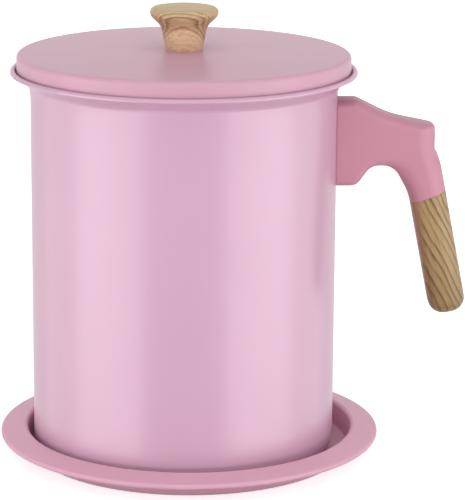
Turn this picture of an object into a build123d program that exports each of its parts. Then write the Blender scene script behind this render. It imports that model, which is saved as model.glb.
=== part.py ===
"""Oil filter pot: a painted steel pot with a side handle, its drip tray, a strainer and a knobbed lid.

Millimetres. +Z is up and the handle points along +X. The origin lies on the pot's axis, on the plane
that the tray stands on.
"""

import math
import os

from build123d import *

# Sheet metal
SHEET = 0.8  # painted steel of the tray, the pot and the lid
STRAINER_SHEET = 0.5  # bare steel of the strainer
HEM_BORE = 0.4  # inside radius of every rolled edge
HEM_TURN = 200.0  # degrees that a rolled edge turns through

# Pot
BODY_R = 65.0  # outside of the wall
POT_HEIGHT = 164.2  # from the base to the seat, under the edge of the strainer's flange
BASE_BEND = 7.0  # outside of the corner between base and wall
RECESS_R = 50.0  # raised middle of the base
RECESS_DEPTH = 1.5
RECESS_BEND = 3.0
FLARE_R = 25.0  # gentle flare at the top of the wall
FLARE_ANGLE = 14.0
NECK_BEND = 2.7  # tight bend from the flare to the seat
SEAT_SLOPE = 35.0  # the seat rises outward, degrees
SEAT_REACH = 6.1  # from the outside of the wall to the inside of the lip
LIP_BEND = 1.2  # outside of the corner between seat and lip
LIP_HEIGHT = 2.0  # lip above the seat

# Tray
TRAY_GAP = 3.8  # round the pot, between its wall and the tray's wall at the floor
TRAY_SHIFT = 2.6  # the pot stands this far off the tray's middle, away from its handle
TRAY_HEIGHT = 11.1  # top of the crest
TRAY_BEND = 2.5
TRAY_LEAN = 8.0  # the tray's wall leans outward, degrees
CREST_BEND = 0.8
TRAY_RIM_WIDTH = 11.2  # from the wall at the floor to where the edge rolls under
TRAY_RIM_FALL = 11.0  # the rim falls outward, degrees

# Strainer
FLANGE_CLEARANCE = 0.7  # between the flange and the lip
CUP_GAP = 2.5  # between the cup and the pot's wall
CUP_DEPTH = 32.0
CUP_LEAN = 3.0  # the cup narrows downward, degrees
CUP_SHOULDER = 2.5
CUP_BEND = 2.5
CUP_LEDGE = 7.0  # width of the flat ledge that carries the mesh
MESH_THICKNESS = 0.6
MESH_PITCH = 5.6
MESH_BAR = 1.2  # solid width between two openings
RING_THICKNESS = 0.8
RING_INSET = 0.8  # the ring keeps this far from the ledge's inner edge

# Lid
LID_CLEARANCE = 0.35  # between the skirt and the lip
LID_HEIGHT = 9.5  # from the skirt's lower edge to the top
LID_CROWN_ANGLE = 2.8  # slope of the crown at its edge, degrees
LID_EDGE_BEND = 1.8

# Knob
KNOB_BASE_R = 7.9
KNOB_STEM_LEAN = 10.1  # degrees
KNOB_WAIST_HEIGHT = 9.7  # where the stem would meet the cap's underside
KNOB_WAIST_BEND = 8.0
KNOB_R = 14.4
KNOB_LIP_BEND = 3.0  # lower edge of the cap
KNOB_EDGE_BEND = 2.1  # upper edge of the cap
KNOB_DOME_ANGLE = 6.0  # slope of the dome at its edge, degrees
KNOB_SEAT_MARGIN = 1.5  # flat spot on the lid round the knob
INSERT_R = 3.6
INSERT_LENGTH = 11.0

# Handle, with places measured from the pot's wall and from the screw's height
HANDLE_DROP = 29.5  # the screw's axis below the lid's seat
HANDLE_WIDTH = 18.0
ROOT_ABOVE = 18.0
ROOT_BELOW = 17.4
ROOT_INSIDE = 15.0  # length of the root that the pot's wall cuts away
ROOT_TOP_REACH = 6.8  # flat of the root's top
ROOT_TOP_ROUND = 4.0
ROOT_FOOT_REACH = 6.7  # flat of the root's foot
ROOT_FOOT_ROUND = 3.0
ARCH_RISE_ANGLE = 53.1  # steepness of the arch on the pot's side, degrees
ARCH_RISE = 5.75  # straight stretch on that side
ARCH_START_ROUND = 6.5
ARCH_FLAT = 0.95  # straight stretch at the top of the arch
ARCH_END_ROUND = 9.0
ARCH_FALL = 62.0  # steepness of the arch on the grip's side, degrees
ARM_END = 15.35  # from there to the arm's outer end
BACK_FALL = 25.8  # slope of the arm's back next to the root, degrees
BACK_LENGTH = 10.1  # straight stretch of that slope
BACK_ROUND = 42.0
BACK_END_FALL = 11.5  # slope of the back at the arm's outer end, degrees
ARM_EDGE_ROUND = 2.0
ARM_END_ROUND = 8.0
WEB_MARGIN = 0.5  # the arch's web ends this far short of the rounded end
GRIP_TOP_INSET = 6.35  # middle of the grip bar's upper end, back from the arm's outer end
GRIP_TOP_BELOW = 4.0
GRIP_LEAN = 11.2  # degrees, outward going down
GRIP_LENGTH = 72.0
GRIP_THICKNESS = 15.7
GRIP_CORNER = 7.0
GRIP_END_ROUND = 6.0
SEAM_AT = 19.8  # along the grip bar, from its upper end
SEAM_TILT = 9.0  # degrees, rising outward
TENON_THICKNESS = 7.0
TENON_WIDTH = 9.0
TENON_CORNER = 1.5
TENON_LENGTH = 26.0
TENON_ROOT = 4.0  # length of the tenon inside the arm
GLUE_GAP = 0.1

# Handle bracket and fasteners
WELD_GAP = 0.05
ROOT_GAP = 0.15  # between the arm's root and the pot's wall
SADDLE_THICKNESS = 1.0
SADDLE_WIDTH = 13.0
SADDLE_HEIGHT = 26.0
POCKET_GAP = 0.2
BOSS_R = 4.5
BOSS_LENGTH = 12.0
SCREW_R = 2.0
THREAD_GAP = 0.05
SCREW_HOLE_GAP = 0.25
HEAD_R = 3.6
HEAD_HEIGHT = 2.6
HEAD_ROUND = 0.9
CROSS_LENGTH = 4.2
CROSS_WIDTH = 0.9
CROSS_DEPTH = 1.3
WASHER_R = 4.0
WASHER_THICKNESS = 0.8
COUNTERBORE_GAP = 0.2
HEAD_DEPTH = 13.0  # from the arm's outer end to the floor of the counterbore
SCREW_GRIP = 9.0  # length of the handle screw inside the boss
PLUG_LENGTH = 5.0
KNOB_SCREW_GRIP = 9.0  # length of the knob screw inside its insert

# Heights that the pieces share
SEAT_Z = SHEET + POT_HEIGHT
LID_BASE_Z = SEAT_Z + STRAINER_SHEET / math.cos(math.radians(SEAT_SLOPE))
LID_TOP_Z = LID_BASE_Z + LID_HEIGHT
HANDLE_Z = SEAT_Z - HANDLE_DROP
MESH_Z = LID_BASE_Z - CUP_DEPTH

# Reaches from the pot's wall that the handle's pieces share
ARCH_TURNS = (ROOT_FOOT_ROUND + ARCH_START_ROUND) * math.sin(math.radians(ARCH_RISE_ANGLE))
ARCH_SLOPE = ARCH_RISE * math.cos(math.radians(ARCH_RISE_ANGLE))
ARCH_END = ARCH_FLAT + ARCH_END_ROUND * math.sin(math.radians(ARCH_FALL))
ARM_REACH = ROOT_FOOT_REACH + ARCH_TURNS + ARCH_SLOPE + ARCH_END + ARM_END
HEAD_SEAT = ARM_REACH - HEAD_DEPTH

# Radii that the pieces share
LIP_R = BODY_R + SEAT_REACH
FLANGE_R = LIP_R - FLANGE_CLEARANCE  # edge of the strainer's flange, which the lid rests on
CUP_R = BODY_R - SHEET - CUP_GAP - STRAINER_SHEET
LEDGE_R = CUP_R - CUP_DEPTH * math.tan(math.radians(CUP_LEAN)) - CUP_BEND  # flat of the cup's ledge
RING_INNER_R = LEDGE_R - CUP_LEDGE + RING_INSET
KNOB_SEAT_R = KNOB_BASE_R + KNOB_SEAT_MARGIN
SCREW_HOLE_R = SCREW_R + SCREW_HOLE_GAP
COUNTERBORE_R = WASHER_R + COUNTERBORE_GAP


def direction(heading):
    """Unit step in the half-plane of radius and height; 0 points outward and 90 points up."""
    turn = math.radians(heading)
    return Vector(math.cos(turn), 0, math.sin(turn))


def bend_step(radius, start, end):
    """Step from the start to the end of a bend between two headings."""
    return (direction(start + 90) - direction(end + 90)) * math.copysign(radius, end - start)


class TangentLine:
    """A line of straights and bends, each tangent to the last, in the half-plane of radius and height."""

    def __init__(self, radius, height, heading):
        self.at = Vector(radius, 0, height)
        self.heading = heading
        self.stretches = []

    def straight(self, length):
        start = self.at
        self.at = start + direction(self.heading) * length
        self.stretches.append([(start, self.heading), (self.at, self.heading)])

    def to_radius(self, radius):
        self.straight((radius - self.at.X) / direction(self.heading).X)

    def to_height(self, height):
        self.straight((height - self.at.Z) / direction(self.heading).Z)

    def bend(self, radius, angle):
        """Turn by an angle about a radius, to the left where the angle is positive."""
        arm = math.copysign(radius, angle)
        centre = self.at + direction(self.heading + 90) * arm
        headings = [self.heading, self.heading + angle / 2, self.heading + angle]
        stops = [(centre - direction(heading + 90) * arm, heading) for heading in headings]
        self.at, self.heading = stops[-1]
        self.stretches.append(stops)

    def edges(self, offset=0):
        """The line's edges, moved to its left by an offset."""
        edges = []
        for stops in self.stretches:
            moved = [at + direction(heading + 90) * offset for at, heading in stops]
            edges.append(Line(*moved) if len(moved) == 2 else ThreePointArc(*moved))
        return edges

    def sheet(self, thickness):
        """A round pressing whose one face follows the line and whose other lies on the line's left."""
        near = self.edges()
        far = self.edges(thickness)
        ends = [Line(near[0] @ 0, far[0] @ 0), Line(near[-1] @ 1, far[-1] @ 1)]
        return revolve(make_face(near + far + ends), Axis.Z)


def post(radius, base, height):
    """A round post on the pot's axis that stands on a height."""
    return extrude(Pos(0, 0, base) * Circle(radius), height)


def ring(outer, inner, base, height):
    """A flat ring on the pot's axis that stands on a height."""
    return post(outer, base, height) - post(inner, base, height)


def pan_screw(length):
    """A cross-recess screw whose head stands on the XY plane and whose shank points down."""
    head = extrude(Circle(HEAD_R), HEAD_HEIGHT)
    head = fillet(head.edges().group_by(Axis.Z)[-1], HEAD_ROUND)
    bar = Box(CROSS_LENGTH, CROSS_WIDTH, 2 * CROSS_DEPTH)
    cross = Pos(0, 0, HEAD_HEIGHT) * (bar + Rot(0, 0, 90) * bar)
    return head - cross + extrude(Circle(SCREW_R), -length)


def tray():
    wall_heading = 90 - TRAY_LEAN
    base_r = BODY_R + TRAY_GAP + SHEET
    crest_drop = CREST_BEND * (1 - math.sin(math.radians(TRAY_LEAN))) + SHEET
    line = TangentLine(0, 0, 0)
    line.to_radius(base_r - TRAY_BEND * math.tan(math.radians(wall_heading / 2)))
    line.bend(TRAY_BEND, wall_heading)
    line.to_height(TRAY_HEIGHT - crest_drop)
    line.bend(CREST_BEND, -wall_heading - TRAY_RIM_FALL)
    line.to_radius(base_r + TRAY_RIM_WIDTH)
    line.bend(HEM_BORE, -HEM_TURN + TRAY_RIM_FALL)
    return Pos(TRAY_SHIFT, 0, 0) * line.sheet(SHEET)


def pot_body():
    recess_turn = math.degrees(math.acos(1 - RECESS_DEPTH / (2 * RECESS_BEND)))
    slope = math.radians(SEAT_SLOPE)
    neck_heading = 90 - FLARE_ANGLE
    neck = bend_step(FLARE_R, 90, neck_heading) + bend_step(NECK_BEND, neck_heading, SEAT_SLOPE)
    seat_fall = (FLANGE_R - BODY_R - neck.X) * math.tan(slope) + SHEET / math.cos(slope)
    lip_bend = bend_step(LIP_BEND, SEAT_SLOPE, 90)
    line = TangentLine(0, SHEET + RECESS_DEPTH, 0)
    line.to_radius(RECESS_R)
    line.bend(RECESS_BEND, -recess_turn)
    line.bend(RECESS_BEND, recess_turn)
    line.to_radius(BODY_R - BASE_BEND)
    line.bend(BASE_BEND, 90)
    line.to_height(SEAT_Z - seat_fall - neck.Z)
    line.bend(FLARE_R, -FLARE_ANGLE)
    line.bend(NECK_BEND, SEAT_SLOPE - neck_heading)
    line.to_radius(LIP_R + SHEET - lip_bend.X)
    line.bend(LIP_BEND, 90 - SEAT_SLOPE)
    line.to_height(SEAT_Z + LIP_HEIGHT - HEM_BORE - SHEET)
    line.bend(HEM_BORE, -HEM_TURN)
    return line.sheet(SHEET)


def strainer_cup():
    flange_heading = 180 + SEAT_SLOPE
    wall_heading = 270 - CUP_LEAN
    shoulder = bend_step(CUP_SHOULDER, flange_heading, wall_heading)
    line = TangentLine(FLANGE_R, LID_BASE_Z, flange_heading)
    line.to_radius(CUP_R - shoulder.X)
    line.bend(CUP_SHOULDER, wall_heading - flange_heading)
    line.to_height(MESH_Z + CUP_BEND * (1 - math.sin(math.radians(CUP_LEAN))))
    line.bend(CUP_BEND, 180 - wall_heading)
    line.to_radius(LEDGE_R - CUP_LEDGE)
    return line.sheet(STRAINER_SHEET)


def strainer_mesh():
    """A flat net: one disc face with square openings, inside the clamping ring."""
    half = (MESH_PITCH - MESH_BAR) / 2
    reach = math.ceil(RING_INNER_R / MESH_PITCH)
    steps = [MESH_PITCH * step for step in range(-reach, reach + 1)]
    grid = [(x, y) for x in steps for y in steps]
    middles = [(x, y) for x, y in grid if math.hypot(abs(x) + half, abs(y) + half) < RING_INNER_R]
    square = [(-half, -half), (half, -half), (half, half), (-half, half)]
    openings = [Wire.make_polygon([(x + dx, y + dy, 0) for dx, dy in square]) for x, y in middles]
    net = Face(Wire.make_circle(LEDGE_R), openings)
    return extrude(Pos(0, 0, MESH_Z) * net, MESH_THICKNESS)


def strainer_ring():
    return ring(LEDGE_R, RING_INNER_R, MESH_Z + MESH_THICKNESS, RING_THICKNESS)


def lid_shell():
    crown_slope = math.sin(math.radians(LID_CROWN_ANGLE))
    lid_r = LIP_R - LID_CLEARANCE
    crown_width = lid_r - LID_EDGE_BEND * (1 - crown_slope) - KNOB_SEAT_R
    line = TangentLine(SCREW_HOLE_R, LID_TOP_Z, 0)
    line.to_radius(KNOB_SEAT_R)
    line.bend(crown_width / crown_slope, -LID_CROWN_ANGLE)
    line.bend(LID_EDGE_BEND, LID_CROWN_ANGLE - 90)
    line.to_height(LID_BASE_Z)
    return line.sheet(-SHEET)


def lid_knob():
    stem_heading = 90 - KNOB_STEM_LEAN
    waist_turn = stem_heading - 45
    waist = KNOB_WAIST_BEND * math.tan(math.radians(waist_turn / 2))
    lip = KNOB_LIP_BEND * math.tan(math.radians(45 / 2))
    line = TangentLine(KNOB_BASE_R, LID_TOP_Z, stem_heading)
    line.to_height(LID_TOP_Z + KNOB_WAIST_HEIGHT - waist * direction(stem_heading).Z)
    line.bend(KNOB_WAIST_BEND, -waist_turn)
    line.to_radius(KNOB_R - lip * direction(45).X)
    line.bend(KNOB_LIP_BEND, 45)
    line.bend(KNOB_EDGE_BEND, 90 - KNOB_DOME_ANGLE)
    line.bend(line.at.X / math.sin(math.radians(KNOB_DOME_ANGLE)), KNOB_DOME_ANGLE)
    foot = Vector(0, 0, LID_TOP_Z)
    outline = line.edges() + [Line(line.at, foot), Line(foot, (KNOB_BASE_R, 0, LID_TOP_Z))]
    knob = revolve(make_face(outline), Axis.Z)
    return knob - post(INSERT_R, LID_TOP_Z, INSERT_LENGTH)


def knob_insert():
    return ring(INSERT_R, SCREW_R + THREAD_GAP, LID_TOP_Z, INSERT_LENGTH)


def knob_washer():
    return ring(WASHER_R, SCREW_HOLE_R, LID_TOP_Z - SHEET - WASHER_THICKNESS, WASHER_THICKNESS)


def knob_screw():
    screw = pan_screw(WASHER_THICKNESS + SHEET + KNOB_SCREW_GRIP)
    return Pos(0, 0, LID_TOP_Z - SHEET - WASHER_THICKNESS) * Rot(180, 0, 0) * screw


def along_arm(radius, start, end):
    """A rod on the handle screw's axis, between two distances from the pot's wall."""
    return Pos(BODY_R + start, 0, HANDLE_Z) * Rot(0, 90, 0) * extrude(Circle(radius), end - start)


def saddle(inner, outer, margin):
    """A curved plate on the pot's wall, round the handle screw's axis."""
    height = SADDLE_HEIGHT + 2 * margin
    tube = ring(outer, inner, HANDLE_Z - height / 2, height)
    window = Box(outer, SADDLE_WIDTH + 2 * margin, 2 * height, align=(Align.MIN, Align.CENTER, Align.CENTER))
    return tube & Pos(0, 0, HANDLE_Z) * window


def handle_bracket():
    inner = BODY_R + WELD_GAP
    plate = saddle(inner, inner + SADDLE_THICKNESS, 0)
    boss = along_arm(BOSS_R, 0, BOSS_LENGTH) - post(inner, 0, SEAT_Z)
    bore = along_arm(SCREW_R + THREAD_GAP, BOSS_LENGTH - SCREW_GRIP - THREAD_GAP, BOSS_LENGTH)
    return plate + boss - bore


def handle_screw():
    length = HEAD_SEAT + WASHER_THICKNESS - BOSS_LENGTH + SCREW_GRIP
    return Pos(BODY_R + HEAD_SEAT + WASHER_THICKNESS, 0, HANDLE_Z) * Rot(0, 90, 0) * pan_screw(length)


def handle_washer():
    end = HEAD_SEAT + WASHER_THICKNESS
    return along_arm(WASHER_R, HEAD_SEAT, end) - along_arm(SCREW_HOLE_R, HEAD_SEAT, end)


def grip_plane(at):
    """Plane across the grip bar, facing down its length, at a distance from its upper end."""
    down = direction(GRIP_LEAN - 90)
    top = Vector(BODY_R + ARM_REACH - GRIP_TOP_INSET, 0, HANDLE_Z - GRIP_TOP_BELOW)
    return Plane(top + down * at, x_dir=direction(GRIP_LEAN), z_dir=down)


def seam_plane():
    """Plane between arm and grip, facing up and rising outward."""
    rise = GRIP_LEAN + SEAM_TILT
    return Plane(grip_plane(SEAM_AT).origin, x_dir=direction(rise), z_dir=direction(rise + 90))


def grip_bar():
    """The rounded bar that the grip and the lower end of the arm are cut from."""
    top = grip_plane(0)
    bar = extrude(top * RectangleRounded(GRIP_THICKNESS, HANDLE_WIDTH, GRIP_CORNER), GRIP_LENGTH)
    faces = bar.faces().sort_by(Axis(top.origin, top.z_dir))
    return fillet(faces[0].edges() + faces[-1].edges(), GRIP_END_ROUND)


def tenon(margin):
    """The arm's tenon, or the grip's mortise where there is a margin round it."""
    section = RectangleRounded(TENON_THICKNESS + 2 * margin, TENON_WIDTH + 2 * margin, TENON_CORNER)
    return extrude(grip_plane(SEAM_AT - TENON_ROOT) * section, TENON_ROOT + TENON_LENGTH + margin)


def arm_beam():
    """The arm's root, back and arch, without bores: a side outline with rounded edges and a round end."""
    root_r = BODY_R - ROOT_INSIDE
    end_r = BODY_R + ARM_REACH
    web_r = end_r - ARM_END_ROUND - WEB_MARGIN
    arch = TangentLine(root_r, HANDLE_Z - ROOT_BELOW, 0)
    arch.to_radius(BODY_R + ROOT_FOOT_REACH)
    arch.bend(ROOT_FOOT_ROUND, ARCH_RISE_ANGLE)
    arch.straight(ARCH_RISE)
    arch.bend(ARCH_START_ROUND, -ARCH_RISE_ANGLE)
    arch_z = arch.at.Z
    arch.straight(ARCH_FLAT)
    arch.bend(ARCH_END_ROUND, -ARCH_FALL)
    arch.to_radius(web_r)
    back = TangentLine(root_r, HANDLE_Z + ROOT_ABOVE, 0)
    back.to_radius(BODY_R + ROOT_TOP_REACH)
    back.bend(ROOT_TOP_ROUND, -BACK_FALL)
    back.straight(BACK_LENGTH)
    back.bend(BACK_ROUND, BACK_FALL - BACK_END_FALL)
    back.to_radius(end_r)
    under = Line(arch.at, (end_r, 0, arch.at.Z))
    root = Line((root_r, 0, HANDLE_Z - ROOT_BELOW), (root_r, 0, HANDLE_Z + ROOT_ABOVE))
    outline = arch.edges() + back.edges() + [under, Line(under @ 1, back.at), root]
    beam = extrude(make_face(outline), HANDLE_WIDTH / 2, dir=(0, 1, 0), both=True)
    beam = fillet(beam.edges().filter_by(Axis.Z).group_by(Axis.X)[-1], ARM_END_ROUND)
    side_edges = beam.faces().filter_by(Plane.XZ).edges()
    beam = fillet([edge for edge in side_edges if edge.center().Z > back.at.Z], ARM_EDGE_ROUND)
    side_edges = beam.faces().filter_by(Plane.XZ).edges()
    foot_edges = [edge for edge in side_edges if edge.center().X < web_r]
    return fillet([edge for edge in foot_edges if edge.center().Z < arch_z + ARM_EDGE_ROUND], ARM_EDGE_ROUND)


def handle_arm():
    arm = split(arm_beam() + grip_bar(), seam_plane(), Keep.TOP) + tenon(0)
    pocket_r = BODY_R + WELD_GAP + SADDLE_THICKNESS + POCKET_GAP
    arm -= post(BODY_R + ROOT_GAP, 0, SEAT_Z)
    arm -= saddle(BODY_R, pocket_r, POCKET_GAP)
    arm -= along_arm(BOSS_R + POCKET_GAP, 0, BOSS_LENGTH + POCKET_GAP)
    arm -= along_arm(SCREW_HOLE_R, 0, HEAD_SEAT)
    return arm - along_arm(COUNTERBORE_R, HEAD_SEAT, ARM_REACH + ARM_END_ROUND)


def handle_grip():
    return split(grip_bar(), seam_plane(), Keep.BOTTOM) - tenon(GLUE_GAP)


def handle_plug():
    rod = along_arm(COUNTERBORE_R - THREAD_GAP, ARM_REACH - PLUG_LENGTH, ARM_REACH + ARM_END_ROUND)
    return rod & arm_beam()


NODES = [
    tray,
    pot_body,
    handle_bracket,
    handle_arm,
    handle_grip,
    handle_screw,
    handle_washer,
    handle_plug,
    strainer_cup,
    strainer_mesh,
    strainer_ring,
    lid_shell,
    lid_knob,
    knob_insert,
    knob_screw,
    knob_washer,
]

os.makedirs("parts", exist_ok=True)
for node in NODES:
    export_step(node(), f"parts/{node.__name__}.step")
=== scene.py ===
"""Looks of the oil filter pot: paint, wood and steel finishes, the woven strainer wire, light and camera.

Metres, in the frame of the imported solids: +Z is up, the handle points along +X, and the pot's axis is Z.
"""

import math

import bpy
import numpy as np
from mathutils import Matrix, Vector


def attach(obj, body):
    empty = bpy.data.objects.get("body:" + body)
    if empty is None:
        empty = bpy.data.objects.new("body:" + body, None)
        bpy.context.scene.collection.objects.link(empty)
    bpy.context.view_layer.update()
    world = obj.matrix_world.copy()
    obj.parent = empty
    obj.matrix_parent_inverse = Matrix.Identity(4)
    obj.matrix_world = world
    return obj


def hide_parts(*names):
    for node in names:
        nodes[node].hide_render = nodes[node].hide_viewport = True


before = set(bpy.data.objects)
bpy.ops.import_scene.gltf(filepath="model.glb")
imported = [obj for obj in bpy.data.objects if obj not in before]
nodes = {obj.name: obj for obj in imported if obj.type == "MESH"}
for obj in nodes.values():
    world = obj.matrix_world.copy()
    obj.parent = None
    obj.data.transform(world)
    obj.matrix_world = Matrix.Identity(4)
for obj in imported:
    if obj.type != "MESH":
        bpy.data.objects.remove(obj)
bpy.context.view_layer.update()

MM = 0.001

POT_LINING_TOP = 161.0 * MM  # the pot's bare steel lining ends at this height
LID_LINING_TOP = 180.0 * MM  # the lid's lies wholly below this one
GRIP_LEAN = math.radians(11.2)

# Handle arm: corners of its side lines as X and Z in mm, each with the radius that rounds it in mm
ARM_BACK = [(50, 154.2, 0), (73.2, 154.2, 5), (87.6, 147.0, 42), (125, 139.3, 0)]
ARM_ARCH = [
    (50, 117.4, 0), (73.2, 117.4, 5), (79.5, 125.9, 6.5),
    (89.1, 125.9, 9), (96.39, 112.6, 30), (103.84, 75, 0),
]
ARM_END = [(106.9, 180, 0), (106.9, 133.4, 22), (109.6, 126.8, 25), (117.5, 86.8, 0)]
ARC_POINTS = 24  # on each rounded corner of those lines
ARM_HALF_WIDTH = 9.0 * MM
ARM_CELL = 0.45 * MM  # of the grid that the skin is worked out on
ARM_ROOT_X = 64.3 * MM  # the skin ends inside the sheet of the pot's wall
ARM_SPAN = (48 * MM, 20 * MM, 60 * MM)  # of that grid along X, Y and Z
END_ROUND_HEIGHTS = (114 * MM, 130 * MM)  # the outer end's edges change their rounding between these
END_ROUNDS = (7 * MM, 8 * MM)
ARCH_ROUND_PLACES = (76 * MM, 84 * MM, 95 * MM)  # along X; the arch's edges change their rounding here
ARCH_ROUNDS = (2.5 * MM, 3.5 * MM, 7 * MM)
BACK_ROUND = 1.5 * MM  # between the back and the sides
CROWN_ROUND = 3 * MM  # of the slow curve over the back, from side to side
SHARP_ANGLE = math.radians(50)  # edges that turn more than this stay sharp
SEAM_X, SEAM_Z = 104.49 * MM, 112.08 * MM  # middle of the seam between arm and grip
SEAM_RISE = math.tan(math.radians(20.2))
PLUG_Z = 135.5 * MM
PLUG_HOLE_R = 4.3 * MM
PLUG_HOLE_X = 103.0 * MM  # the floor of the plug's hole

# Woven wire of the strainer
WIRE_PITCH = 1.5 * MM
WIRE_R = 0.15 * MM
WIRE_SIDES = 4
WIRE_STEPS = 4  # along each pitch
MESH_R = 56.8 * MM
MESH_MIDDLE_Z = 133.9 * MM

# Colours, linear
PINK = (0.55, 0.324, 0.438, 1)
# PINK_LID is the pot's pink made warmer for the lid, a painted reflection of the warm sheen on its top.
PINK_LID = (0.59, 0.338, 0.428, 1)
PINK_TRAY = (0.635, 0.35, 0.45, 1)
PINK_MOULDED = (0.46, 0.20, 0.265, 1)
# STEEL is darker than STEEL_LINING, the same steel, so that the shiny strips' highlights on the strainer
# don't clip: painted shade.
STEEL = (0.46, 0.46, 0.47, 1)
STEEL_LINING = (0.74, 0.74, 0.75, 1)
BRASS = (0.72, 0.50, 0.20, 1)
FLOOR_PALE = (0.72, 0.7, 0.71, 1)
WHITE = (1, 1, 1, 1)

GLOSS_SPREAD = 0.05  # how much the paint's roughness varies over a piece
FLOOR_HALF_WIDTH = 6.0
FLOOR_GLOW = 0.68  # added for the camera to what the lamps give the floor
PLAIN_LEVEL = 0.5  # of the world's light on matte surfaces


class Socket:
    """An output in a material's nodes. Arithmetic on it adds Math nodes, and make() adds any other node."""

    def __init__(self, tree, output):
        self.tree = tree
        self.output = output

    def make(self, kind, settings=None, sockets=None, out=0):
        """Add a node: its settings, then the values or links of its sockets; give one of its outputs."""
        node = self.tree.nodes.new(kind)
        for name, value in (settings or {}).items():
            if name == "stops":
                fill_ramp(node.color_ramp, value)
            else:
                setattr(node, name, value)
        for key, value in (sockets or {}).items():
            if isinstance(value, Socket):
                self.tree.links.new(value.output, node.inputs[key])
            else:
                node.inputs[key].default_value = value
        return Socket(self.tree, node.outputs[out]) if node.outputs else None

    def math(self, operation, *values):
        return self.make("ShaderNodeMath", {"operation": operation}, dict(enumerate(values)))

    def __add__(self, other):
        return self.math("ADD", self, other)

    __radd__ = __add__

    def __sub__(self, other):
        return self.math("SUBTRACT", self, other)

    def __rsub__(self, other):
        return self.math("SUBTRACT", other, self)

    def __mul__(self, other):
        return self.math("MULTIPLY", self, other)

    __rmul__ = __mul__

    def __truediv__(self, other):
        return self.math("DIVIDE", self, other)

    def __pow__(self, other):
        return self.math("POWER", self, other)

    def mix(self, low, high):
        """Colour between low, where this value is 0, and high, where it is 1."""
        return self.make("ShaderNodeMix", {"data_type": "RGBA"}, {0: self, 6: low, 7: high}, out=2)

    def noise(self, scale, detail=2.0, roughness=0.5):
        """Noise of about one blob per 1/scale metres, from 0 to 1, at this place."""
        sockets = {"Vector": self, "Scale": scale, "Detail": detail, "Roughness": roughness}
        return self.make("ShaderNodeTexNoise", None, sockets)

    def placed(self, turn=(0, 0, 0), scale=(1, 1, 1)):
        """This place, turned and then stretched, for grain that runs one way."""
        turned = self.make("ShaderNodeMapping", None, {"Vector": self, "Rotation": turn})
        return turned.make("ShaderNodeMapping", None, {"Vector": turned, "Scale": scale})

    def part(self, axis):
        """One coordinate of this place: 0, 1 or 2 for X, Y or Z."""
        return self.make("ShaderNodeSeparateXYZ", None, {0: self}, out=axis)

    def between(self, low, high):
        """0 where this value is below low, 1 above high, and a soft step between them."""
        sockets = {"Value": self, "From Min": low, "From Max": high}
        return self.make("ShaderNodeMapRange", {"interpolation_type": "SMOOTHSTEP"}, sockets)

    def ramp(self, stops):
        return self.make("ShaderNodeValToRGB", {"stops": stops}, {0: self})

    def bump(self, strength, distance):
        sockets = {"Strength": strength, "Distance": distance, "Height": self}
        return self.make("ShaderNodeBump", None, sockets)


def fill_ramp(ramp, stops):
    """Set a colour ramp's stops from pairs of place and colour."""
    while len(ramp.elements) < len(stops):
        ramp.elements.new(1.0)
    for element, (at, colour) in zip(ramp.elements, stops):
        element.position = at
        element.color = colour


def finish(name, detail, **constants):
    """A material: constants on some of its sockets, and what detail() makes of the place on others."""
    material = bpy.data.materials.new(name)
    material.use_nodes = True
    tree = material.node_tree
    shader = tree.nodes["Principled BSDF"]
    for socket, value in constants.items():
        shader.inputs[socket.replace("_", " ")].default_value = value
    place = Socket(tree, tree.nodes.new("ShaderNodeTexCoord").outputs["Object"])
    for socket, value in detail(place).items():
        tree.links.new(value.output, shader.inputs[socket])
    return material


def tinted(colour, factor):
    """A colour times a factor."""
    return tuple(channel * factor for channel in colour[:3]) + (1,)


def paint_detail(colour, gloss):
    """Sprayed satin paint: cloudy tone, fine orange peel, and gloss that varies a little."""

    def detail(place):
        cloud = place.noise(scale=35.0, detail=3.0)
        speck = place.noise(scale=2600.0, detail=1.0)
        peel = place.noise(scale=520.0) * 0.8 + speck * 0.2
        return {
            "Base Color": (cloud * 0.8 + speck * 0.2).mix(tinted(colour, 0.965), tinted(colour, 1.035)),
            "Roughness": place.noise(scale=90.0) * GLOSS_SPREAD + (gloss - GLOSS_SPREAD / 2),
            "Normal": peel.bump(strength=0.12, distance=0.06 * MM),
        }

    return detail


def moulded_detail(colour):
    """Moulded plastic: fine even grain, flow clouds along the piece."""

    def detail(place):
        flow = place.placed(scale=(1.0, 1.0, 2.0)).noise(scale=60.0, detail=3.0)
        grain = place.noise(scale=2200.0)
        return {
            "Base Color": (flow * 0.7 + grain * 0.3).mix(tinted(colour, 0.96), tinted(colour, 1.04)),
            "Roughness": place.noise(scale=150.0) * 0.08 + 0.42,
            "Normal": grain.bump(strength=0.1, distance=0.05 * MM),
        }

    return detail


def spun_detail(colour):
    """Spun steel: fine rings round the Z axis from noise on radius and height, with softer smears."""

    def detail(place):
        squares = place.part(0) ** 2.0 + place.part(1) ** 2.0
        radius = squares ** 0.5
        ring_place = place.make("ShaderNodeCombineXYZ", None, {0: radius, 1: 0.0, 2: place.part(2)})
        lines = ring_place.noise(scale=2400.0, detail=3.0, roughness=0.65)
        smear = place.noise(scale=45.0, detail=3.0)
        return {
            "Base Color": (lines * 0.6 + smear * 0.4).mix(tinted(colour, 0.86), tinted(colour, 1.1)),
            "Roughness": lines * 0.16 + smear * 0.1 + 0.2,
            "Normal": lines.bump(strength=0.18, distance=0.04 * MM),
        }

    return detail


def wire_detail(place):
    """Drawn wire: faint marks and a duller tone in patches."""
    patch = place.noise(scale=80.0)
    mark = place.noise(scale=3000.0)
    return {
        "Base Color": (patch * 0.6 + mark * 0.4).mix(tinted(STEEL, 0.8), tinted(STEEL, 1.1)),
        "Roughness": mark * 0.15 + 0.24,
    }


def grey(level):
    """A grey colour of one level."""
    return (level, level, level, 1)


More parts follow.
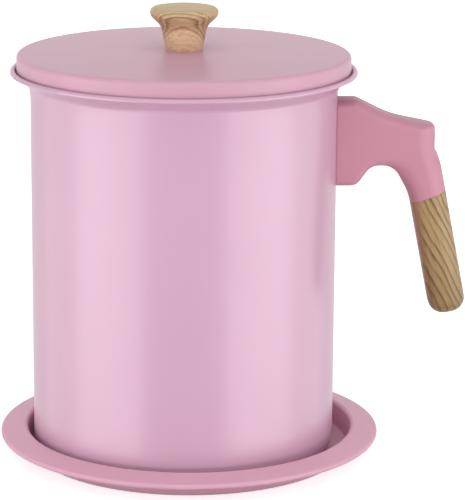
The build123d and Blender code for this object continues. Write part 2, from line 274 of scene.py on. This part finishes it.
def wood_detail(edge_point, edge_across, across, spacing, fibre_turn, sapwood_and_painted_light, heartwood, dark, first,
                lasting, line_start, deep_end):
    """Streaked wood: flat layers across a direction, bent by slow noise, each darkening to a line.

    The sapwood's edge is a plane through edge_point, across edge_across. Behind it lies plain sapwood, and
    ahead of it streaked heartwood, whose lines fade to a lasting share. The sapwood colour is partly painted
    light: on the grip, painted shade with the pot's pink reflected light on the side towards the pot; on the
    knob, a painted lighter front of the stem, which lies in the cap's shade. A line starts at line_start, a
    share of its layer, and how dark it is comes from its number, counted from first. The tone deepens from
    the upper height of deep_end down to the lower one, a painted shade towards the grip's lower end. Fibres
    and pores are noise drawn out along the Z axis of the place turned by fibre_turn.
    """

    def ahead_of_edge(place, direction):
        """Distance of a place from edge_point along a direction."""
        way = Vector(direction).normalized()
        reach = place.make("ShaderNodeVectorMath", {"operation": "DOT_PRODUCT"}, {0: place, 1: way}, out=1)
        return reach - way.dot(Vector(edge_point))

    def detail(place):
        along = place.placed(fibre_turn)
        drift = along.placed(scale=(1.0, 1.0, 0.3)).noise(scale=110.0, detail=3.5) - 0.5
        ahead = ahead_of_edge(place, edge_across) / spacing + drift * 0.9
        layer = ahead_of_edge(place, across) / spacing + drift * 1.5 + first
        # Sapwood behind the edge: partly real grain, partly painted shade (grip) and painted light (knob
        # stem).
        heart_vs_painted_side = ahead.between(low=-0.6, high=0.4)
        fade = 1.0 - ahead.between(low=1.0, high=4.0) * (1.0 - lasting)
        ring = layer.math("FRACT", layer)
        number = layer - ring
        bold = number.make("ShaderNodeTexWhiteNoise", {"noise_dimensions": "1D"}, {"W": number})
        line = ring.ramp([
            (0.0, grey(0.7)),
            (0.10, grey(0.0)),
            (line_start, grey(0.1)),
            (0.87, grey(0.9)),
            (0.95, grey(1.0)),
        ])
        fibre = along.placed(scale=(1.0, 1.0, 0.05)).noise(scale=1300.0, detail=4.0, roughness=0.6)
        pore = along.placed(scale=(1.0, 1.0, 0.04)).noise(scale=2600.0, detail=1.0)
        pores = pore.ramp([(0.60, WHITE), (0.74, (0.66, 0.58, 0.5, 1))])
        shade = line * (bold * 0.65 + 0.4) * (fibre * 0.7 + 0.65) * (heart_vs_painted_side * 0.85 + 0.15) * fade
        # Painted shade: the tone darkens towards the bottom, below the upper height of deep_end.
        deep = 1.0 - place.part(2).between(*deep_end)
        tone = shade + deep * 0.34 + (fibre - 0.5) * 0.9 + 0.04
        colour = tone.math("MAXIMUM", tone, 0.0).mix(heart_vs_painted_side.mix(sapwood_and_painted_light, heartwood), dark)
        multiply = {"data_type": "RGBA", "blend_type": "MULTIPLY"}
        return {
            "Base Color": colour.make("ShaderNodeMix", multiply, {0: 0.7, 6: colour, 7: pores}, out=2),
            "Roughness": fibre * 0.16 + 0.36,
            "Normal": (fibre * 0.5 - shade * 0.5).bump(strength=0.25, distance=0.1 * MM),
        }

    return detail


def brass_detail(place):
    """Turned brass: fine rings along the height."""
    lines = place.placed(scale=(0.05, 0.05, 1.0)).noise(scale=2600.0)
    return {
        "Base Color": lines.mix(tinted(BRASS, 0.8), tinted(BRASS, 1.1)),
        "Roughness": lines * 0.2 + 0.22,
    }


pot_paint = finish("pot_paint", paint_detail(PINK, gloss=0.30), Specular_IOR_Level=0.8)
lid_paint = finish("lid_paint", paint_detail(PINK_LID, gloss=0.34), Specular_IOR_Level=0.22)
tray_paint = finish("tray_paint", paint_detail(PINK_TRAY, gloss=0.38), Specular_IOR_Level=0.15)
pink_moulded = finish("pink_moulded", moulded_detail(PINK_MOULDED))
steel = finish("spun_steel", spun_detail(STEEL), Metallic=1.0)
lining = finish("bare_lining", spun_detail(STEEL_LINING), Metallic=1.0)
wire = finish("drawn_wire", wire_detail, Metallic=1.0)
brass = finish("turned_brass", brass_detail, Metallic=1.0)
# The grip's sapwood, on its side towards the pot, is partly painted shade with the pot's pink reflected
# light; deep_end paints shade towards the grip's lower end.
grip_wood = finish("grip_wood", wood_detail(
    edge_point=(102.6 * MM, -9 * MM, 95 * MM),
    edge_across=(0.98, 0.2, 0.1),
    across=(0.86, 0.2, 0.48),
    spacing=2.6 * MM,
    fibre_turn=(0, GRIP_LEAN + 0.15, 0),
    sapwood_and_painted_light=(0.35, 0.19, 0.112, 1),
    heartwood=(0.345, 0.228, 0.092, 1),
    dark=(0.12, 0.062, 0.02, 1),
    first=3.0,
    lasting=1.0,
    line_start=0.58,
    deep_end=(60 * MM, 96 * MM),
))
# The knob's lighter sapwood, on the front of the stem below the cap, is partly painted light against the
# cap's shade.
knob_wood = finish("knob_wood", wood_detail(
    edge_point=(0, -9.5 * MM, 185 * MM),
    edge_across=(0.08, 0.8, 1.0),
    across=(0.08, 0.8, 1.0),
    spacing=1.5 * MM,
    fibre_turn=(0, math.radians(90), 0),
    sapwood_and_painted_light=(0.74, 0.52, 0.32, 1),
    heartwood=(0.58, 0.425, 0.235, 1),
    dark=(0.20, 0.085, 0.035, 1),
    first=7.0,
    lasting=0.4,
    line_start=0.45,
    deep_end=(160 * MM, 170 * MM),
))

FINISHES = {
    "tray": tray_paint,
    "pot_body": pot_paint,
    "lid_shell": lid_paint,
    "handle_arm": pink_moulded,
    "handle_plug": pink_moulded,
    "handle_grip": grip_wood,
    "lid_knob": knob_wood,
    "knob_insert": brass,
    "handle_bracket": steel,
    "handle_screw": steel,
    "handle_washer": steel,
    "strainer_cup": steel,
    "strainer_ring": steel,
    "knob_screw": steel,
    "knob_washer": steel,
}


def dress(name, material):
    """Give a node its finish in its first slot."""
    slots = nodes[name].data.materials
    slots.clear()
    slots.append(material)


def line_with(name, material, floor_side, top):
    """Give a second finish to the inside of a round pressing, below a top height.

    Inside faces point at the axis, or to the floor's side: 1 is up, for a pot, and -1 is down, for a lid.
    """
    mesh = nodes[name].data
    mesh.materials.append(material)
    middles = np.empty(len(mesh.polygons) * 3)
    mesh.polygons.foreach_get("center", middles)
    x, y, z = middles.reshape(-1, 3).T
    normals = np.empty(len(mesh.polygons) * 3)
    mesh.polygons.foreach_get("normal", normals)
    normal_x, normal_y, normal_z = normals.reshape(-1, 3).T
    outward = (normal_x * x + normal_y * y) / np.hypot(x, y)
    picked = (floor_side * normal_z > outward) & (z < top)
    mesh.polygons.foreach_set("material_index", picked.astype(np.int32))


for node_name, node_finish in FINISHES.items():
    dress(node_name, node_finish)
line_with("pot_body", lining, floor_side=1, top=POT_LINING_TOP)
line_with("lid_shell", lining, floor_side=-1, top=LID_LINING_TOP)


def new_piece(name, vertices, faces, material):
    """A smooth mesh with one finish, put into the scene."""
    mesh = bpy.data.meshes.new(name)
    mesh.from_pydata(vertices, [], faces)
    mesh.polygons.foreach_set("use_smooth", np.ones(len(faces), bool))
    mesh.materials.append(material)
    piece = bpy.data.objects.new(name, mesh)
    bpy.context.scene.collection.objects.link(piece)
    return piece


def woven_wire(name, across):
    """One direction of a plain weave, cut to a disc.

    Wire k lies at k pitches from the middle. Its height is a cosine along its length with a half wave per
    pitch, and turns over from one wire to the next. Each wire is a ring of sides carried along that line.
    """
    reach = int(MESH_R / WIRE_PITCH)
    steps = 2 * reach * WIRE_STEPS
    offsets = np.arange(-reach, reach + 1) * WIRE_PITCH
    half_lengths = np.sqrt(np.maximum(MESH_R ** 2 - offsets ** 2, 0))
    along = np.linspace(-1, 1, steps + 1)[None, :] * half_lengths[:, None]
    phase = np.pi * (along / WIRE_PITCH + np.arange(len(offsets))[:, None] + (0 if across else 1))
    rise = WIRE_R * np.cos(phase)
    turn = np.arange(WIRE_SIDES) * 2 * np.pi / WIRE_SIDES
    side = offsets[:, None, None] + WIRE_R * np.cos(turn)[None, None, :] + 0 * along[:, :, None]
    height = MESH_MIDDLE_Z + rise[:, :, None] + WIRE_R * np.sin(turn)[None, None, :]
    run = along[:, :, None] + 0 * height
    place = np.stack([side, run, height] if across else [run, side, height], axis=-1)
    index = np.arange(place[..., 0].size).reshape(place.shape[:3])
    around = np.roll(index, -1, axis=2)
    quads = np.stack([index[:, :-1], around[:, :-1], around[:, 1:], index[:, 1:]], axis=-1).reshape(-1, 4)
    ends = np.concatenate([index[:, 0, ::-1], index[:, -1, :]])
    faces = np.concatenate([quads, ends])
    if not across:
        faces = faces[:, ::-1]
    piece = new_piece(name, place.reshape(-1, 3), faces, wire)
    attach(piece, "strainer")
    return piece


warp = woven_wire("strainer_warp", across=True)
woven_wire("strainer_weft", across=False)
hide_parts("strainer_mesh")


def rounded_line(corners):
    """A line through corners, each replaced by an arc of its radius, as complex numbers X + iZ."""
    spots = np.array([x + 1j * z for x, z, _ in corners]) * MM
    pieces = [spots[:1]]
    for before, corner, after, (_, _, radius) in zip(spots, spots[1:], spots[2:], corners[1:]):
        back = (before - corner) / abs(before - corner)
        ahead = (after - corner) / abs(after - corner)
        half_angle = abs(np.angle(ahead / back)) / 2
        middle = corner + (back + ahead) / abs(back + ahead) * radius * MM / np.sin(half_angle)
        start = corner + back * radius * MM / np.tan(half_angle) - middle
        end = corner + ahead * radius * MM / np.tan(half_angle) - middle
        pieces.append(middle + start * np.exp(1j * np.angle(end / start) * np.linspace(0, 1, ARC_POINTS)))
    return np.concatenate(pieces + [spots[-1:]])


def left_of(line, spots):
    """Distance of complex spots from a line of complex points, positive on the line's left."""
    step = np.diff(line)
    off = spots[..., None] - line[:-1]
    gap = off - np.clip((off / step).real, 0, 1) * step
    nearest = abs(gap).argmin(-1)
    shortest = np.take_along_axis(gap, nearest[..., None], -1)[..., 0]
    return np.copysign(abs(shortest), (shortest / step[nearest]).imag)


def rounded_meeting(one, other, radius):
    """Distance to where two shapes overlap, from the distances to both, with a rounded edge between them."""
    corner = np.hypot(np.maximum(one + radius, 0), np.maximum(other + radius, 0))
    return np.minimum(np.maximum(one, other), -radius) + corner


def net_over(place, field):
    """Vertices and quads of the surface on which a field on a grid of places is 0.

    Each cell that the surface crosses has one vertex, at the mean of the crossings on its edges. Each grid
    edge that it crosses has one quad, between the cells round it.
    """
    inside = field < 0
    total = np.zeros(tuple(np.array(field.shape) - 1) + (3,))
    hits = np.zeros(total.shape[:3])
    for axis in range(3):
        level = np.moveaxis(field, axis, 0)
        spot = np.moveaxis(place, axis, 0)
        crossed = (level[:-1] < 0) != (level[1:] < 0)
        share = np.where(crossed, level[:-1] / np.where(crossed, level[:-1] - level[1:], 1), 0)[..., None]
        found = (spot[:-1] + share * (spot[1:] - spot[:-1])) * crossed[..., None]
        _, rows, columns = level.shape
        for row in (0, 1):
            for column in (0, 1):
                window = np.s_[:, row:rows - 1 + row, column:columns - 1 + column]
                np.moveaxis(total, axis, 0)[...] += found[window]
                np.moveaxis(hits, axis, 0)[...] += crossed[window]
    used = hits > 0
    number = np.cumsum(used).reshape(used.shape) - 1
    quads = []
    for axis in range(3):
        low = np.moveaxis(inside, axis, 0)
        cell = np.moveaxis(number, axis, 0)
        crossed = (low[:-1] != low[1:])[:, 1:-1, 1:-1]
        around = [cell[:, :-1, :-1], cell[:, 1:, :-1], cell[:, 1:, 1:], cell[:, :-1, 1:]]
        ring = np.stack(around, axis=-1)[crossed]
        outward = low[:-1, 1:-1, 1:-1][crossed] != (axis == 1)
        quads.append(np.where(outward[:, None], ring, ring[:, ::-1]))
    return total[used] / hits[used][:, None], np.concatenate(quads)


def arm_skin():
    """The moulded arm as one smooth skin from the pot's wall to the grip.

    It is the overlap of a slab with the sides of three lines: the outer end, the back and the arch. The edge
    with each line has its own rounding, and the arch's grows towards the grip. The lowest layer of the grid
    lies in the seam with the grip, and its first in the pot's wall.
    """
    across, deep, tall = (np.arange(0, span, ARM_CELL) for span in ARM_SPAN)
    x = (ARM_ROOT_X + across)[:, None, None]
    y = (deep - deep[-1] / 2)[None, :, None]
    z = SEAM_Z + (x - SEAM_X) * SEAM_RISE + tall[None, None, :]
    spots = x + 1j * z
    slab = abs(y) - ARM_HALF_WIDTH
    end_round = np.interp(z, END_ROUND_HEIGHTS, END_ROUNDS)
    arch_round = np.interp(x, ARCH_ROUND_PLACES, ARCH_ROUNDS)
    back = left_of(rounded_line(ARM_BACK), spots)
    plan = rounded_meeting(left_of(rounded_line(ARM_END), spots), slab, end_round)
    crown = rounded_meeting(slab / 2, back, CROWN_ROUND)
    field = np.maximum(rounded_meeting(plan, back, BACK_ROUND), 2 * crown)
    field = rounded_meeting(field, -left_of(rounded_line(ARM_ARCH), spots), arch_round)
    hole = np.maximum(np.hypot(y, z - PLUG_Z) - PLUG_HOLE_R, PLUG_HOLE_X - x)
    field = np.maximum(field, -hole)
    place = np.stack(np.broadcast_arrays(x, y, z), axis=-1)
    rim = ((1, 0), (0, 0), (1, 0))
    field = np.pad(field, rim, constant_values=1.0)
    place = np.pad(place, rim + ((0, 0),), mode="edge")
    vertices, quads = net_over(place, field)
    piece = new_piece("arm_skin", vertices, quads, pink_moulded)
    piece.data.set_sharp_from_angle(angle=SHARP_ANGLE)
    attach(piece, "pot")
    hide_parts("handle_arm")


arm_skin()


# Floor and world: white to the camera and to reflections, plain light to the rest
def seen_directly(tree):
    """1 for rays from the camera, from a reflection or through something clear, and 0 for other light."""
    path = tree.nodes.new("ShaderNodeLightPath")
    camera, glossy, through = (
        Socket(tree, path.outputs[f"Is {ray} Ray"]) for ray in ("Camera", "Glossy", "Transmission")
    )
    return camera.math("MAXIMUM", camera.math("MAXIMUM", camera, glossy), through)


def white_stage():
    """A large pale floor that keeps the object's shadow."""
    material = bpy.data.materials.new("white_floor")
    material.use_nodes = True
    tree = material.node_tree
    tree.nodes.clear()
    direct = seen_directly(tree)
    matte = direct.make("ShaderNodeBsdfDiffuse", None, {"Color": FLOOR_PALE})
    glow = direct.make("ShaderNodeEmission", None, {"Color": WHITE, "Strength": direct * FLOOR_GLOW})
    both = direct.make("ShaderNodeAddShader", None, {0: matte, 1: glow})
    both.make("ShaderNodeOutputMaterial", None, {"Surface": both})
    corners = np.array([(-1, -1, 0), (1, -1, 0), (1, 1, 0), (-1, 1, 0)]) * FLOOR_HALF_WIDTH
    floor = new_piece("floor", corners, [(0, 1, 2, 3)], material)
    floor.visible_glossy = False


def white_world():
    """White for the camera, for reflections and through clear things, and a plain level for other light."""
    world = bpy.data.worlds.new("studio")
    bpy.context.scene.world = world
    world.use_nodes = True
    tree = world.node_tree
    tree.nodes.clear()
    strength = seen_directly(tree) * (1 - PLAIN_LEVEL) + PLAIN_LEVEL
    glow = strength.make("ShaderNodeBackground", None, {"Color": WHITE, "Strength": strength})
    glow.make("ShaderNodeOutputWorld", None, {"Surface": glow})


def softbox(name, place, target, size, radiance, lights="all"):
    """A rectangular lamp at a place, facing a target; a radiance of 1 looks white in a mirror.

    It lights all, or only the gloss or the matte part of each surface.
    """
    data = bpy.data.lights.new(name, "AREA")
    data.shape = "RECTANGLE"
    data.size, data.size_y = size
    data.energy = math.pi * size[0] * size[1] * radiance
    lamp = bpy.data.objects.new(name, data)
    lamp.location = place
    lamp.rotation_euler = (Vector(target) - Vector(place)).to_track_quat("-Z", "Y").to_euler()
    lamp.visible_camera = False
    lamp.visible_diffuse = lights != "gloss"
    lamp.visible_glossy = lights != "matte"
    bpy.context.scene.collection.objects.link(lamp)


def panel(name, azimuth, distance, height, size, radiance, lights):
    """An upright lamp round the pot's axis; azimuth 0 is towards the camera and 90 towards the handle."""
    turn = math.radians(azimuth)
    place = (distance * math.sin(turn), -distance * math.cos(turn), height)
    softbox(name, place, (0, 0, height), size, radiance, lights)


def photo_camera():
    """The photograph's camera: its place, and the axes that its heading, downward tilt and roll give."""
    place = Vector((-18.71, -1087.34, 357.41)) * MM
    heading, tilt, roll = 0.0365, 0.2431, 0.0069
    level = Vector((math.sin(heading), math.cos(heading), 0))
    forward = level * math.cos(tilt) - Vector((0, 0, math.sin(tilt)))
    right = Vector((math.cos(heading), -math.sin(heading), 0))
    up = right.cross(forward)
    rolled_right = right * math.cos(roll) + up * math.sin(roll)
    rolled_up = up * math.cos(roll) - right * math.sin(roll)
    data = bpy.data.cameras.new("photo_camera")
    data.sensor_width = 36.0
    data.lens = 187.5
    data.clip_start = 0.01
    camera = bpy.data.objects.new("photo_camera", data)
    turn = Matrix((rolled_right, rolled_up, -forward)).transposed()
    camera.matrix_world = Matrix.Translation(place) @ turn.to_4x4()
    bpy.context.scene.collection.objects.link(camera)
    bpy.context.scene.camera = camera


def studio_lights():
    """Panels above and in front, a soft one and two shiny strips on each side, and low and rear fills.

    The strips make the two pale bands on the pot's wall and the sheen at its edges.
    """
    softbox("top_panel", place=(0, -0.1, 1.0), target=(0, 0, 0.17), size=(0.9, 0.9), radiance=0.8)
    softbox("front_panel", place=(0, -1.3, 0.7), target=(0, 0, 0.1), size=(0.9, 0.7), radiance=1.9)
    for side_name, side in (("left", -1), ("right", 1)):
        panel(side_name + "_panel", azimuth=side * 63, distance=0.34, height=0.11,
              size=(0.22, 0.28), radiance=1.9, lights="matte")
        panel(side_name + "_strip", azimuth=side * 57, distance=0.6, height=-0.05,
              size=(0.6, 0.6), radiance=2.2, lights="gloss")
        panel(side_name + "_edge_strip", azimuth=side * 103, distance=0.6, height=-0.05,
              size=(0.44, 0.6), radiance=0.7, lights="gloss")
    panel("low_fill", azimuth=0, distance=1.2, height=0.08, size=(1.9, 0.14), radiance=4.9, lights="matte")
    panel("rear_fill", azimuth=180, distance=1.2, height=0.3, size=(1.6, 0.5), radiance=1.9, lights="matte")


white_stage()
white_world()
studio_lights()
photo_camera()

bpy.context.scene.view_settings.view_transform = "Standard"
